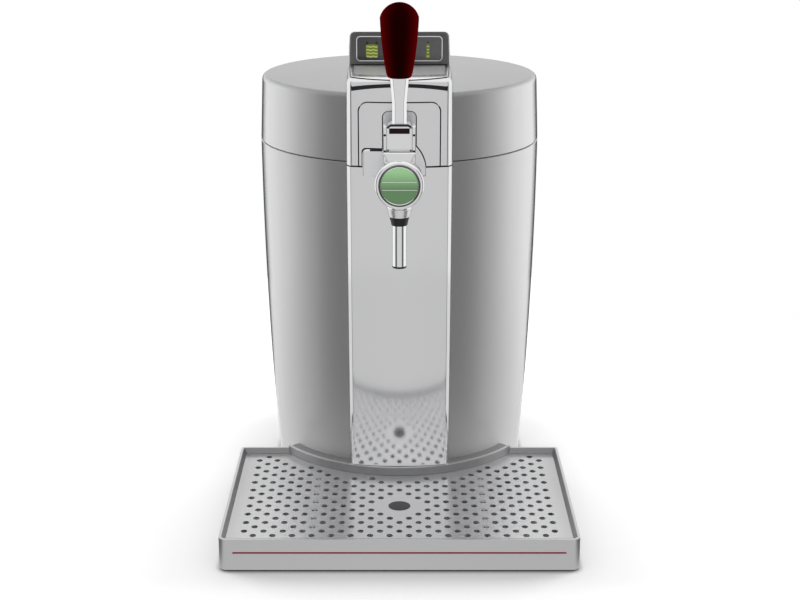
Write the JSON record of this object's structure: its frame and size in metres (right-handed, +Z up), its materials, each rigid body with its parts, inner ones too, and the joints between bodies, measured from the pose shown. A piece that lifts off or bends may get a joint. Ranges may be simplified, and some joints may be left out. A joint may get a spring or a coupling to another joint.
{
  "type": "mini keg beer dispenser",
  "caption": "Countertop cooler and tap for a mini beer keg, with a hinged lid, display pod, pull lever, pinch valve and a removable drip tray under a perforated grille.",
  "frame": {"origin": "middle of the footprint (drum and drip tray together), on the counter", "axes": "+Z up, -Y towards the drinker, where the tap and the drip tray are, +X to the drinker's right"},
  "size_m": [0.33, 0.4524, 0.5027],
  "materials": {
    "silver_plastic": "silver satin paint on moulded plastic",
    "grey_plastic": "moulded grey plastic, fine grain",
    "dark_plastic": "black moulded plastic",
    "bright_skin": "polished and lightly satined metal skin",
    "chrome": "bright plated die casting",
    "steel": "brushed stainless sheet",
    "liner_aluminium": "bare drawn aluminium",
    "foam": "rigid insulating foam",
    "rubber": "black rubber",
    "ceramic": "white ceramic plates",
    "red_gloss": "dark red lacquer, high gloss",
    "green_gloss": "green enamel, high gloss",
    "board_green": "coated circuit board",
    "dark_glass": "dark tinted display window"
  },
  "bodies": {
    "machine": {"base_pan": "dark_plastic", "base_feet": "rubber", "dock_ledge": "grey_plastic", "drum_shell": "silver_plastic", "rear_panel": "dark_plastic", "power_inlet": "dark_plastic", "rocker_frame": "dark_plastic", "deck_ring": "grey_plastic", "keg_liner": "liner_aluminium", "foam_jacket": "foam", "cold_plate": "liner_aluminium", "peltier_module": "ceramic", "heat_sink": "liner_aluminium", "fan_frame": "dark_plastic", "power_supply": "steel", "control_board": "board_green", "front_column": "bright_skin", "hinge_bracket": "silver_plastic", "hinge_pin": "steel", "tap_base": "silver_plastic", "tap_body": "chrome", "spout_cone": "chrome", "spout_collar": "rubber", "spout_tube": "chrome", "badge_ring": "chrome", "badge_disc": "green_gloss", "lever_pin": "steel", "ear_pins": "steel"},
    "lid": {"lid_shell": "silver_plastic", "lid_liner": "grey_plastic", "lid_foam": "foam", "lid_gasket": "rubber", "hood": "bright_skin", "shelf_plate": "bright_skin", "head_panel": "bright_skin", "door_panel": "bright_skin", "display_pod": "silver_plastic", "display_bezel": "dark_plastic", "display_trim": "chrome", "display_glass": "dark_glass", "display_lcd": "dark_plastic", "hinge_leaf": "silver_plastic"},
    "lever": {"lever_arm": "chrome", "knob_stud": "steel", "lever_knob": "red_gloss"},
    "plunger": {"pinch_plunger": "steel"},
    "tray": {"tray_body": "grey_plastic", "tray_feet": "rubber"},
    "grille": {"drip_grille": "steel", "drain_disc": "dark_plastic"},
    "rocker": {"power_rocker": "dark_plastic"},
    "fan": {"fan_rotor": "dark_plastic"}
  },
  "joints": [
    {"name": "lid_hinge", "type": "hinge", "parent": "machine", "child": "lid", "pos_m": [0, 0.22075, 0.347], "axis": [-1, 0, 0], "range_deg": [0, 85]},
    {"name": "lever_turn", "type": "hinge", "parent": "machine", "child": "lever", "pos_m": [0, -0.12825, 0.37], "axis": [1, 0, 0], "range_deg": [0, 45]},
    {"name": "plunger_slide", "type": "slide", "parent": "machine", "child": "plunger", "axis": [0, 0, 1], "range_m": [0, 0.0022]},
    {"name": "tray_pull", "type": "slide", "parent": "machine", "child": "tray", "axis": [0, -1, 0], "range_m": [0, 0.15]},
    {"name": "grille_lift", "type": "slide", "parent": "tray", "child": "grille", "axis": [0, 0, 1], "range_m": [0, 0.018]},
    {"name": "rocker_tilt", "type": "hinge", "parent": "machine", "child": "rocker", "pos_m": [0.028, 0.18755, 0.046], "axis": [1, 0, 0], "range_deg": [0, 12]},
    {"name": "fan_spin", "type": "hinge", "parent": "machine", "child": "fan", "pos_m": [0, 0.13205, 0.0308], "axis": [0, 1, 0], "continuous": true}
  ],
  "couplings": [
    {"joint": "plunger_slide", "follows": "lever_turn", "m_per_rad": 0.0028}
  ]
}
